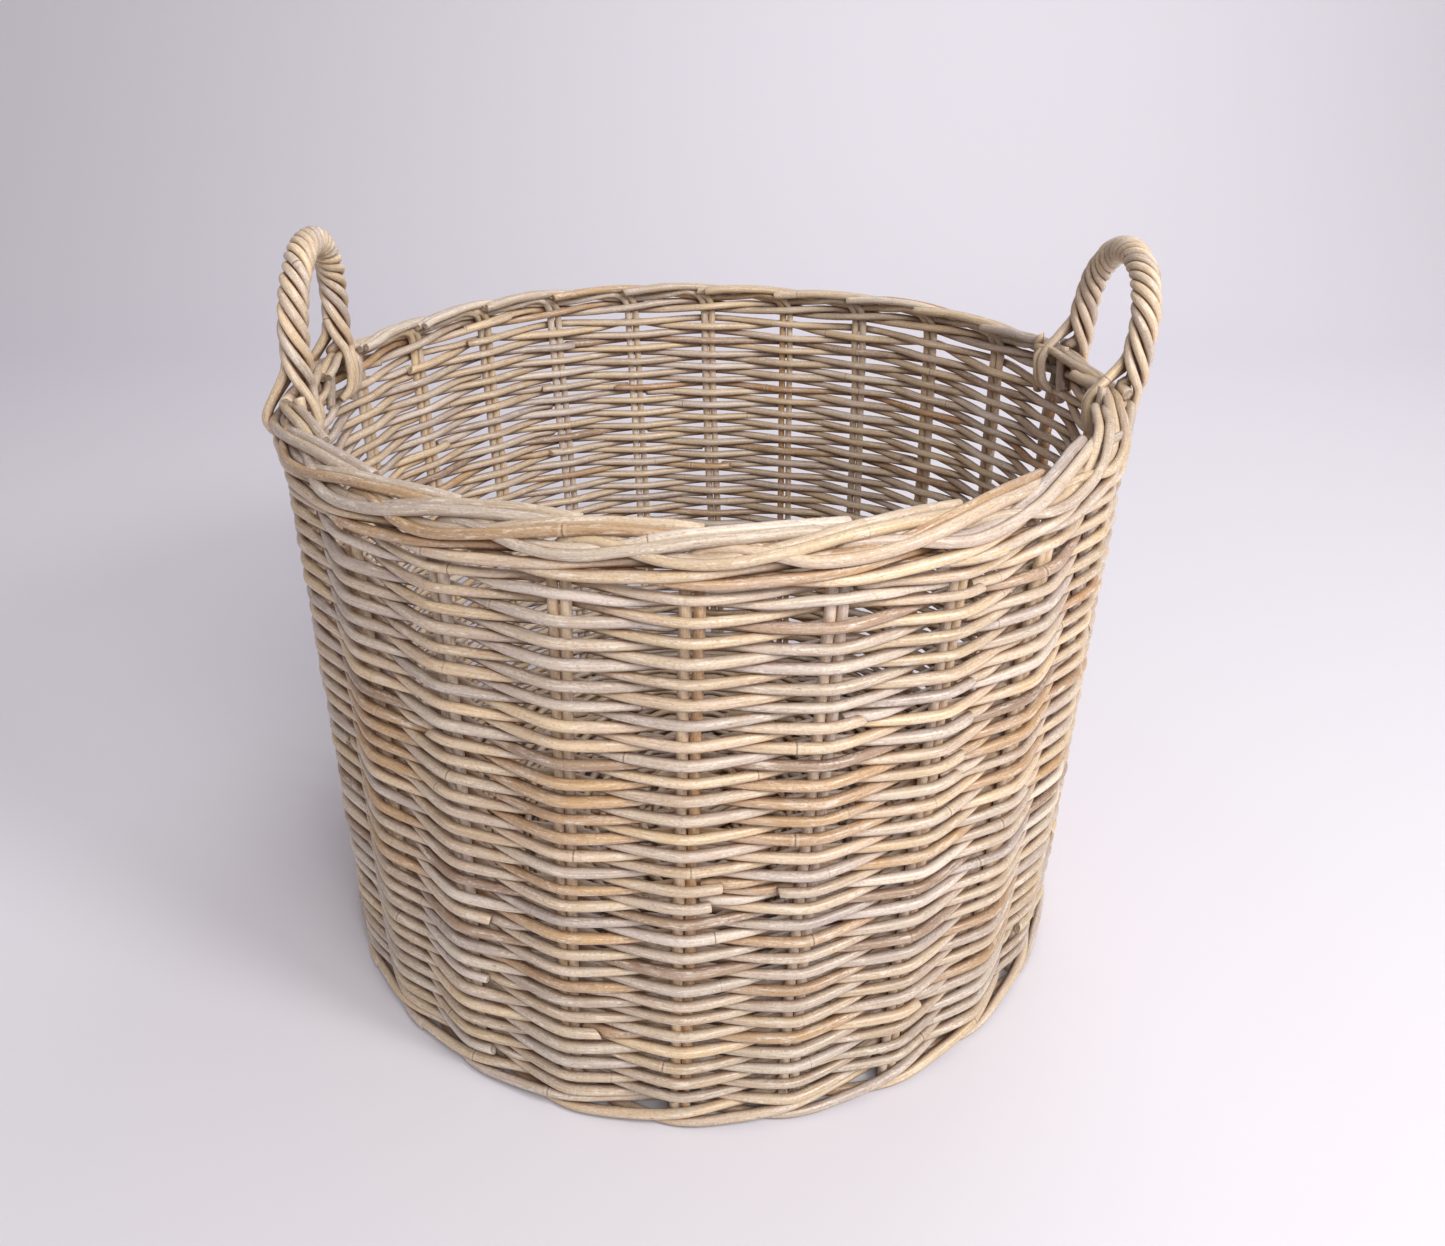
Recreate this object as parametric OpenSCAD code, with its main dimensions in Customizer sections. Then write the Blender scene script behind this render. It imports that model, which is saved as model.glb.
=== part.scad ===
// Round woven rattan laundry basket with two roped ear handles.
// Millimetres, +Z up, the origin on the floor at the middle of the foot.
// Upright stake pairs stand on a stick-and-strand base, two weavers chase each other round
// them, three-rod wales lock the weave at both ends, and the rim is a laid-down cane border.

/* [Body] */
// Outside diameter of the weave at the floor
foot_d = 524; // [480:2:560]
// Outside diameter of the weave under the rim
rim_d = 550; // [520:2:600]
// How far a stake lies over sideways between floor and rim, in degrees
stake_lean = 2.4; // [0:0.2:4]
// Angle of the first stake pair, seen from above with 0 along +X
first_pair = -92.6; // [-100:0.1:-80]

/* [Stakes] */
// Number of stake pairs round the wall, a multiple of six
pair_count = 24; // [18:6:24]
// Diameter of one stake cane
stake_d = 6.4; // [5:0.1:7]
// Distance between the middles of the two canes of a pair
pair_gap = 7.4; // [7.2:0.1:9]

/* [Weave] */
// Number of courses, each of two weavers
course_count = 29; // [10:1:29]
// Radial thickness of a weaver
weaver_w = 5.4; // [4:0.1:6]
// Height of a weaver
weaver_h = 5.6; // [4:0.1:5.7]
// Height from one weaver to the next
row_pitch = 5.83; // [5.8:0.01:6.2]
// Gap between a weaver and the stakes that it passes
weave_gap = 0.4; // [0.3:0.1:1]

/* [Wales] */
// Diameter of a waling rod
rod_d = 5.8; // [5:0.1:6]
// Rise of a rod along each outside stroke
wale_rise = 7.9; // [7.9:0.1:9]

/* [Base] */
// Diameter of a base stick
stick_d = 6; // [5:0.1:6]
// Diameter of a base weaver
base_weaver_d = 5.4; // [4:0.1:5.6]
// Distance between neighbouring base weavers, seen from above
base_pitch = 5.9; // [5.8:0.1:8]
// Diameter of the cane that is bent into the foot hoop
hoop_d = 7.6; // [6.6:0.1:7.8]
// Width of the flat that is planed on the underside of the hoop
hoop_flat = 5; // [3:0.5:6]

/* [Border] */
// Diameter of a border cane
border_d = 6.2; // [5:0.1:6.4]
// Angle that each border cane sweeps round the rim
border_sweep = 45; // [30:1:45]
// Radius where a border cane starts, on the outside
border_out_r = 272; // [268:0.5:274]
// Radius where a border cane ends, on the inside
border_in_r = 251; // [248:0.5:253]

/* [Handles] */
// Turn of both handles about the vertical, in degrees
handle_turn = 2; // [-4:0.5:4]
// Radius of the arch from leg centre to leg centre
arch_r = 50; // [45:1:60]
// Height of the right arch's centre line above the rim
right_rise = 82; // [76:0.5:92]
// Height of the left arch's centre line above the rim
left_rise = 89; // [76:0.5:92]
// Distance of the right handle from the middle of the basket
right_handle_r = 274.5; // [262:0.5:276]
// Distance of the left handle from the middle of the basket
left_handle_r = 256; // [254:1:262]
// Outward lean of the right handle, in degrees
right_lean = 7; // [-3:0.5:8]
// Outward lean of the left handle, in degrees
left_lean = -2; // [-3:0.5:8]
// Diameter of the core cane
core_d = 6; // [4:0.1:6.2]
// Diameter of one of the strands that are twisted round the core
strand_d = 5.2; // [4:0.1:5.2]
// Turns that the strands make from foot to foot
strand_turns = 5; // [3:1:5]

/* [Hidden] */
smooth = 40;
cane_sides = 5;

// radii of the line that the stakes stand on
weave_amp = (stake_d + weaver_w) / 2 + weave_gap;
stake_foot_r = foot_d / 2 - weave_amp - weaver_w / 2;
stake_rim_r = rim_d / 2 - weave_amp - weaver_w / 2;
taper_h = 381;

// heights, from the floor up
floor_gap = 0.4;
foot_wale_z = floor_gap + (wale_rise + rod_d) / 2;
leg_z = foot_wale_z + (wale_rise + rod_d + stick_d) / 2 + 0.5;
weave_z = leg_z + stake_d / 2 + 1.4;
weave_top = weave_z + 2 * course_count * row_pitch;
top_wale_z = weave_top + 0.2 + (wale_rise + rod_d) / 2;
border_z = top_wale_z + (wale_rise + rod_d + border_d) / 2 + 0.3;
border_step = border_d + 0.2;
rim_z = border_z + border_step + border_d / 2;

pair_step = 360 / pair_count;
flat_half = pair_gap / 2 + stake_d / 2 + 1.3;

// base: the sticks cross in two layers, then fan out to one spoke for each stake pair
sticks_each_way = pair_count / 4;
cross_half = 30;
fan_r = 63;
spoke_end_r = 208;
leg_start_r = 203;
leg_half_gap = 7;
base_weave_r = 68;
base_weave_edge = stake_foot_r - stake_d / 2 - rod_d - base_weaver_d / 2 - 1;
base_weave_rings = floor((base_weave_edge - base_weave_r - base_pitch) / base_pitch / 2) + 1;
base_layer = (stick_d + base_weaver_d) / 2 + 0.6;
hoop_r = 234;

// handles: strands lie on the core, then part to run down both sides of the rim
strand_r = (core_d + strand_d) / 2 + 1.1;
rope_foot_z = rim_z + 9.5;
core_foot_z = rim_z + 4.5;
tail_out_r = rim_d / 2 + strand_d / 2 + 5.4;
tail_in_r = border_in_r - border_d / 2 - strand_d / 2 - 0.7;
tail_spacing = 6.2;
tail_end_z = rim_z - 34;
shoulder_in = 4.7;
shoulder_z = rim_z + 5;
steps_per_turn = 8;

// where each strand's tail lies at a foot: on the outside or the inside, and how far along
goes_out = [true, true, false, false, true];
tail_place = [0, 1, 0.5, -0.5, -1];

function course_name(i) = str("weave_course_", i < 10 ? "0" : "", i);
function wale_name(place, rod) = str(place, "_wale_rod_", rod);

// ---- geometry shared by the sub-parts ----

function polar(r, a, z) = [r * cos(a), r * sin(a), z];
function unit(v) = v / norm(v);

// the stake line: its radius and the angle of pair k at height z
function stake_r(z) = stake_foot_r + (stake_rim_r - stake_foot_r) * z / taper_h;
function pair_angle(k, z) = first_pair + k * pair_step + stake_lean * (z / taper_h - 0.5);

// angle that a length t along the wall takes up at radius r
function along(t, r) = t / r * 180 / PI;

// direction of a path at point i
function heading(path, i, closed) =
    let (n = len(path))
    let (before = closed ? path[(i + n - 1) % n] : path[max(i - 1, 0)])
    let (after = closed ? path[(i + 1) % n] : path[min(i + 1, n - 1)])
    unit(after - before);

// ring of corner points round a path at point i, square to its direction
function section(path, i, closed, r, up) =
    let (along_path = heading(path, i, closed))
    let (side = unit(cross(along_path, up)))
    let (top = cross(side, along_path))
    [for (j = [0:cane_sides - 1])
        let (a = 360 * j / cane_sides)
        path[i] + r * (cos(a) * side + sin(a) * top)];

// a round cane that follows a path of points
module swept_cane(path, d, up, closed = false) {
    n = len(path);
    s = cane_sides;
    points = [for (i = [0:n - 1]) each section(path, i, closed, d / 2, up)];
    walls = [
        for (i = [0:(closed ? n - 1 : n - 2)], j = [0:s - 1])
            let (a = i * s, b = (i + 1) % n * s, k = (j + 1) % s)
            each [[a + j, a + k, b + k], [a + j, b + k, b + j]]
    ];
    ends = closed ? [] : [[for (j = [s - 1:-1:0]) j], [for (j = [0:s - 1]) (n - 1) * s + j]];
    polyhedron(points, concat(walls, ends), convexity = 4);
}

// a straight round cane from p to q
module straight_cane(p, q, d) {
    v = q - p;
    translate(p)
        rotate([0, acos(v.z / norm(v)), atan2(v.y, v.x)])
            cylinder(h = norm(v), d = d, $fn = smooth);
}

// ---- base ----

// the hoop that the basket stands on, planed flat underneath
module foot_hoop() {
    flat_drop = hoop_d / 2 - sqrt(pow(hoop_d / 2, 2) - pow(hoop_flat / 2, 2));
    color([0.66, 0.57, 0.46])
        rotate_extrude($fn = 120)
            intersection() {
                translate([hoop_r, hoop_d / 2 - flat_drop]) circle(d = hoop_d, $fn = smooth);
                translate([hoop_r - hoop_d, 0]) square([2 * hoop_d, hoop_d]);
            }
}

// parallel sticks that cross the middle at height z and fan out to the spoke ends
module base_sticks(turn, z) {
    for (j = [0:sticks_each_way - 1]) {
        place = j - (sticks_each_way - 1) / 2;
        y = place * (stick_d + 0.5);
        a = place * pair_step;
        middle_z = z + leg_z;
        path = [
            polar(spoke_end_r, 180 - a, leg_z), polar(fan_r, 180 - a, leg_z),
            [-cross_half, y, middle_z], [cross_half, y, middle_z],
            polar(fan_r, a, leg_z), polar(spoke_end_r, a, leg_z)
        ];
        rotate(turn) swept_cane(path, stick_d, [0, 0, 1]);
    }
}

fan_angle = pair_angle((sticks_each_way - 1) / 2, leg_z);
module base_sticks_lower() color([0.62, 0.53, 0.43]) base_sticks(fan_angle, -stick_d / 2 - 0.1);
module base_sticks_upper() color([0.66, 0.57, 0.46]) base_sticks(fan_angle + 90, stick_d / 2 + 0.1);

// rings of base weave, every second one above the sticks and the others below
module base_weave(first_r, z) {
    for (i = [0:base_weave_rings - 1])
        translate([0, 0, z])
            rotate_extrude($fn = 96)
                translate([first_r + 2 * i * base_pitch, 0])
                    circle(d = base_weaver_d, $fn = 24);
}

module base_weave_lower() color([0.67, 0.6, 0.52]) base_weave(base_weave_r, leg_z - base_layer);
module base_weave_upper()
    color([0.72, 0.65, 0.56]) base_weave(base_weave_r + base_pitch, leg_z + base_layer);

// ---- wall ----

// one cane of every pair: a leg pushed in beside its spoke, and the upright
module stakes(side) {
    for (k = [0:pair_count - 1]) {
        foot_turn = side * along(pair_gap / 2, stake_foot_r);
        top_z = border_z - border_d / 2 - 0.3;
        spoke = pair_angle(k, leg_z);
        corner = polar(stake_r(leg_z), spoke + foot_turn, leg_z);
        leg_end = polar(leg_start_r, spoke + side * along(leg_half_gap, leg_start_r), leg_z);
        low = polar(stake_r(floor_gap), pair_angle(k, floor_gap) + foot_turn, floor_gap + 0.8);
        top_turn = side * along(pair_gap / 2, stake_rim_r);
        high = polar(stake_r(top_z), pair_angle(k, top_z) + top_turn, top_z);
        union() {
            straight_cane(low, high, stake_d);
            straight_cane(leg_end, corner, stake_d - 0.6);
        }
    }
}

module side_stakes() color([0.64, 0.54, 0.42]) stakes(-1);
module bye_stakes() color([0.58, 0.49, 0.39]) stakes(1);

// outline of one weaver edge: flat over each pair, straight between pairs
function wave_outline(offset_r, side, z) = [
    for (k = [0:pair_count - 1], end = [-1, 1])
        let (out = (k + side) % 2 == 0 ? -1 : 1)
        let (r = stake_r(z) + out * weave_amp)
        let (a = pair_angle(k, z) + end * along(flat_half, r))
        [(r + offset_r) * cos(a), (r + offset_r) * sin(a)]
];

module weaver(side, z) {
    middle = z + weaver_h / 2;
    translate([0, 0, z])
        linear_extrude(weaver_h)
            difference() {
                polygon(wave_outline(weaver_w / 2, side, middle));
                polygon(wave_outline(-weaver_w / 2, side, middle));
            }
}

// a course: two weavers that pass the same pairs on opposite sides
module weave_course(i) {
    z = weave_z + 2 * (i - 1) * row_pitch;
    shade = 0.03 * sin(i * 137.5);
    color([0.74 + shade, 0.66 + shade, 0.56 + shade]) {
        weaver(0, z);
        weaver(1, z + row_pitch);
    }
}

// centre line of a waling rod: outside two pairs while it climbs, inside the third as it drops
function wale_path(rod, z) =
    let (amp = (stake_d + rod_d) / 2 + 0.6)
    let (rise = wale_rise / 2)
    let (out = [amp, amp, amp, amp, amp, 0, -amp, -amp, 0])
    let (lift = [-0.8, -0.6, 0, 0.6, 0.9, 1, 0.4, -0.4, -1] * rise)
    [for (k = [0:pair_count - 1], step = [0:2])
        let (phase = ((k + rod) % 3) * 3 + step)
        let (shift = [-1, 1, 0][step] * along(flat_half, stake_r(z)))
        let (half = step == 2 ? pair_step / 2 : 0)
        polar(stake_r(z) + out[phase], pair_angle(k, z) + shift + half, z + lift[phase])];

module wale_rod(rod, z) {
    shade = 0.03 * rod;
    color([0.7 + shade, 0.62 + shade, 0.5 + shade])
        swept_cane(wale_path(rod, z), rod_d, [0, 0, 1], closed = true);
}

// ---- rim ----

// canes that start outside over a stake pair and sweep round to the inside of the rim
module border_canes(z) {
    // circle of the rim's own radius through the start and the end
    start = [border_out_r, 0];
    end = [border_in_r * cos(border_sweep), border_in_r * sin(border_sweep)];
    arc_r = (border_out_r + border_in_r) / 2;
    middle = (start + end) / 2;
    chord = end - start;
    centre = middle + unit([-chord.y, chord.x]) * sqrt(pow(arc_r, 2) - pow(norm(chord) / 2, 2));
    from = atan2(start.y - centre.y, start.x - centre.x);
    to = atan2(end.y - centre.y, end.x - centre.x);
    for (k = [0:pair_count - 1])
        rotate(pair_angle(k, z))
            translate([centre.x, centre.y, z])
                rotate(from)
                    rotate_extrude(angle = to - from, $fn = 240)
                        translate([arc_r, 0]) circle(d = border_d, $fn = 24);
}

module border_lower_canes() color([0.7, 0.6, 0.46]) border_canes(border_z);
module border_upper_canes() color([0.76, 0.67, 0.53]) border_canes(border_z + border_step);

// ---- handles ----

// point of the arch's centre line, t running from 0 at one foot to 1 at the other
function arch_point(t, foot_z, arch_z) =
    let (leg = arch_z - foot_z, bend = PI * arch_r)
    let (s = t * (2 * leg + bend))
    s < leg ? [0, -arch_r, foot_z + s]
    : s > leg + bend ? [0, arch_r, foot_z + 2 * leg + bend - s]
    : let (a = (s - leg) / bend * 180) [0, -arch_r * cos(a), arch_z + arch_r * sin(a)];

// direction of the arch's centre line
function arch_heading(t, foot_z, arch_z) =
    unit(arch_point(min(t + 0.005, 1), foot_z, arch_z) - arch_point(max(t - 0.005, 0), foot_z, arch_z));

// a point of an upright handle, once the handle leans outwards about its feet
function leaning(p, lean) =
    let (h = p.z - rope_foot_z)
    [p.x * cos(lean) + h * sin(lean), p.y, rope_foot_z + h * cos(lean) - p.x * sin(lean)];

// points of a strand beside one foot, from the end of its tail up to the rope
function tail(j, foot, arch_at) =
    let (y = foot * (arch_r - tail_place[j] * tail_spacing))
    let (rim_r = goes_out[j] ? tail_out_r : tail_in_r)
    let (x = sqrt(pow(rim_r, 2) - pow(y, 2)) - arch_at)
    let (rope_x = strand_r * cos(72 * j))
    let (shoulder = goes_out[j] ? max(rope_x, x - shoulder_in) : min(rope_x, x + shoulder_in))
    [[x, y, tail_end_z], [x, y, rim_z - 2.5], [shoulder, y, shoulder_z]];

// centre line of strand j, wound round the arch from one foot to the other
function rope_path(j, arch_z, lean) =
    let (steps = strand_turns * steps_per_turn)
    [for (i = [0:steps])
        let (t = i / steps, a = 72 * j - 360 * strand_turns * t)
        let (across = cross(arch_heading(t, rope_foot_z, arch_z), [1, 0, 0]))
        let (beside = strand_r * (cos(a) * [1, 0, 0] + sin(a) * across))
        leaning(arch_point(t, rope_foot_z, arch_z) + beside, lean)];

module handle_rope(turn, arch_at, rise, lean) {
    color([0.8, 0.73, 0.64])
        rotate(turn) translate([arch_at, 0, 0])
            for (j = [0:4]) {
                rope = rope_path(j, rim_z + rise - arch_r, lean);
                last = tail(j, 1, arch_at);
                path = concat(tail(j, -1, arch_at), rope, [last[2], last[1], last[0]]);
                swept_cane(path, strand_d, [1, 0, 0]);
            }
}

module handle_core(turn, arch_at, rise, lean) {
    bend_h = rim_z + rise - arch_r - rope_foot_z;
    below = rope_foot_z - core_foot_z;
    color([0.68, 0.6, 0.5])
        rotate(turn) translate([arch_at, 0, rope_foot_z]) rotate([0, lean, 0]) {
            for (side = [-1, 1])
                translate([0, side * arch_r, -below])
                    cylinder(h = bend_h + below, d = core_d, $fn = smooth);
            translate([0, 0, bend_h]) rotate([90, 0, 90])
                rotate_extrude(angle = 180, $fn = 120)
                    translate([arch_r, 0]) circle(d = core_d, $fn = smooth);
        }
}

module handle_core_right() handle_core(handle_turn, right_handle_r, right_rise, right_lean);
module handle_core_left() handle_core(handle_turn + 180, left_handle_r, left_rise, left_lean);
module handle_rope_right() handle_rope(handle_turn, right_handle_r, right_rise, right_lean);
module handle_rope_left() handle_rope(handle_turn + 180, left_handle_r, left_rise, left_lean);

// ---- assembly ----

foot_hoop();
base_sticks_lower();
base_sticks_upper();
base_weave_lower();
base_weave_upper();
side_stakes();
bye_stakes();
for (rod = [1:3])
    wale_rod(rod, foot_wale_z);
for (i = [1:course_count])
    weave_course(i);
for (rod = [1:3])
    wale_rod(rod, top_wale_z);
border_lower_canes();
border_upper_canes();
handle_core_right();
handle_core_left();
handle_rope_right();
handle_rope_left();
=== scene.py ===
"""Round woven rattan laundry basket with a laid rim and two roped handles.

Every cane is swept along its own path as a round cane. The wall, rim and base are laid out in
places round the wall, counted in stake pairs, and the handles in axes of their own.
"""

import math

import bpy
import numpy as np
from mathutils import Matrix, Vector


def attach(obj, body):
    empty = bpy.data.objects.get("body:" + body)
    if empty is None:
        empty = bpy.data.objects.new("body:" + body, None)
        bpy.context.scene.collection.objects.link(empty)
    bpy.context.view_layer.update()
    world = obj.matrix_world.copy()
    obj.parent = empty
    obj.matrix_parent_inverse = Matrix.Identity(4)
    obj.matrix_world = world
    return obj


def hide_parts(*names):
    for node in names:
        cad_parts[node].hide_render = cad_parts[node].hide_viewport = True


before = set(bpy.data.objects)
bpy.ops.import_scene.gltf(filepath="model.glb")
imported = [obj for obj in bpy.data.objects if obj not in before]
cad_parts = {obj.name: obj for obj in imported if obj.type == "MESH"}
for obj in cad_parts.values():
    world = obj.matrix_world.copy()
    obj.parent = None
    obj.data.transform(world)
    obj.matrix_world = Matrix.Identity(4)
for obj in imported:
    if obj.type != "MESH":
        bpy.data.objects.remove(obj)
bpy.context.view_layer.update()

# Lengths are in millimetres until a mesh is made.
MM = 0.001
SEED = 761

PAIRS = 24
FIRST_PAIR = -92.6      # degrees, at mid height
LEAN = 2.4              # degrees that a stake leans round the wall from foot to rim
WALL_H = 381.0
FOOT_R, RIM_R = 253.0, 266.0   # middle of the stakes at the floor and at WALL_H

STAKE_R = 3.0
PAIR_HALF = 3.35        # from the middle of a pair to the middle of each of its canes
ROWS = 58
ROW_Z, ROW_PITCH = 16.4, 5.957
WEAVE_AMP = 6.5         # how far a weaver swings to either side of the stakes
WEAVER_R = 3.1
WALE_R = 3.1
LEG_Z = 17.1            # middle of the stakes' legs and of the base sticks
RIM_Z = 386.0
HANDLE_HALF = 50.0      # from the middle of a handle to each of its feet, along the rim
# The handles: name, turn round the basket, distance from its middle, height of the arch's centre,
# outward lean, radius of the strands that go down inside the rim and outside it, push on the rim
HANDLES = (
    ("right", 2.0, 274.5, 418.5, 7.0, 253.5, 283.0, 6.0),
    ("left", 182.0, 256.0, 425.5, -2.0, 251.5, 281.5, 3.0),
)


def rng_for(*key):
    """Random numbers for one piece, always the same."""
    return np.random.default_rng([SEED, *key])


def smooth(x):
    x = np.clip(x, 0.0, 1.0)
    return x * x * (3.0 - 2.0 * x)


def srgb(r, g, b):
    c = np.array([r, g, b]) / 255.0
    return tuple(np.where(c <= 0.04045, c / 12.92, ((c + 0.055) / 1.055) ** 2.4))


# ---- the shape of the wall ----

_wander = rng_for(1).normal(0.0, 1.0, (PAIRS, 3)).clip(-1.6, 1.6)


def wall_r(z):
    return FOOT_R + (RIM_R - FOOT_R) * z / WALL_H


def pair_angle(u, z):
    """Angle of place u round the wall, counted in stake pairs."""
    return np.radians(FIRST_PAIR + 360.0 / PAIRS * u + LEAN * (z / WALL_H - 0.5))


def wander(u, z):
    """Sideways drift of the stake pairs from their true places."""
    t = math.pi * np.clip(z / WALL_H, 0.0, 1.05)
    k = np.floor(u).astype(int)
    f = smooth(u - k)

    def one(k):
        a, b, c = _wander[k % PAIRS].T
        return 0.9 * a + 0.9 * b * np.cos(t) + 0.8 * c * np.sin(2.0 * t)

    return one(k) * (1.0 - f) + one(k + 1) * f


def swell(a, z):
    """How far the wall stands out of true round."""
    return (1.1 * np.sin(2 * a + z / 150.0) + 0.7 * np.sin(5 * a - z / 70.0 + 1.0)
            + 0.5 * np.sin(3 * a + z / 40.0))


def dip(a, z):
    """How far the rows wander up and down together."""
    free = smooth(z / 90.0)
    return free * (0.9 * np.sin(3 * a + 0.6) + 0.7 * np.sin(5 * a + z / 90.0)
                   + 0.5 * np.sin(9 * a - z / 60.0))


PUSH_WIDTH = 5.5        # degrees


def push(a, z):
    """How far the feet of the handles push the rim outward."""
    far = 0.0
    for _, turn, arch_at, *_, shove in HANDLES:
        for foot in (-1, 1):
            at = math.radians(turn) + foot * math.atan2(HANDLE_HALF, arch_at)
            off = np.degrees((a - at + np.pi) % (2 * np.pi) - np.pi)
            far = far + shove * np.exp(-((off / PUSH_WIDTH) ** 2))
    return far * smooth((z - 335.0) / 35.0)


def place(u, out, z, drift=1.0):
    """Points at place u round the wall, `out` beyond the middle of the stakes, at height z."""
    u, out, z = np.broadcast_arrays(np.asarray(u, float), out, z)
    z = z.astype(float)
    a = pair_angle(u, z)
    r = wall_r(z) + out + swell(a, z) * smooth(z / 40.0) + push(a, z)
    lift = dip(a, z)
    a = a + drift * wander(u, z) / r
    return np.stack([r * np.cos(a), r * np.sin(a), z + lift], -1)


# ---- canes ----

def heading(path):
    t = np.gradient(path, axis=0)
    return t / np.linalg.norm(t, axis=1, keepdims=True)


def lengths(path):
    return np.concatenate([[0.0], np.cumsum(np.linalg.norm(np.diff(path, axis=0), axis=1))])


def spline(points, step=4.0):
    """Points every `step` along a smooth line through the given ones."""
    p = np.asarray(points, float)
    ext = np.vstack([2 * p[0] - p[1], p, 2 * p[-1] - p[-2]])
    out = []
    for i in range(len(p) - 1):
        p0, p1, p2, p3 = ext[i:i + 4]
        n = max(2, int(math.ceil(np.linalg.norm(p2 - p1) / step * 2)))
        d = [max(np.linalg.norm(b - a), 1e-6) ** 0.5 for a, b in ((p0, p1), (p1, p2), (p2, p3))]
        m1 = (p1 - p0) / d[0] - (p2 - p0) / (d[0] + d[1]) + (p2 - p1) / d[1]
        m2 = (p2 - p1) / d[1] - (p3 - p1) / (d[1] + d[2]) + (p3 - p2) / d[2]
        m1, m2 = m1 * d[1], m2 * d[1]
        t = np.linspace(0, 1, n, endpoint=False)[:, None]
        out.append((2 * t**3 - 3 * t**2 + 1) * p1 + (t**3 - 2 * t**2 + t) * m1
                   + (-2 * t**3 + 3 * t**2) * p2 + (t**3 - t**2) * m2)
    out.append(p[-1:])
    dense = np.vstack(out)
    s = lengths(dense)
    even = np.linspace(0, s[-1], max(4, int(round(s[-1] / step)) + 1))
    return np.stack([np.interp(even, s, dense[:, i]) for i in range(3)], 1)


# A cane's colour runs from straw to a lavender grey; a few are bleached, tan or brown.
STRAW, GREY = np.array(srgb(218, 197, 166)), np.array(srgb(204, 192, 181))
ODD = [srgb(226, 215, 202), srgb(200, 169, 132), srgb(178, 153, 131), srgb(190, 153, 116)]
ODD_SHARES = (0.4, 0.35, 0.17, 0.08)


def pick_tint(rng, straw=0.55, odd=0.27):
    """A cane's own colour; `straw` is how far most are from grey towards straw."""
    mix = np.clip(rng.normal(straw, 0.38), 0.0, 1.0)
    colour = GREY + (STRAW - GREY) * mix
    if rng.random() < odd:
        colour = np.array(ODD[rng.choice(len(ODD), p=ODD_SHARES)])
    return colour * (1.0 + rng.normal(0, 0.06))


FAR_JOINT = 14.0        # the `joint` attribute goes no further than this from a joint
SWELLING = 3.2          # how far along the cane a joint's swelling reaches
END_FACE = 0.86         # size of a cut end inside its chamfer
CHAMFER = 0.45


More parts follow.
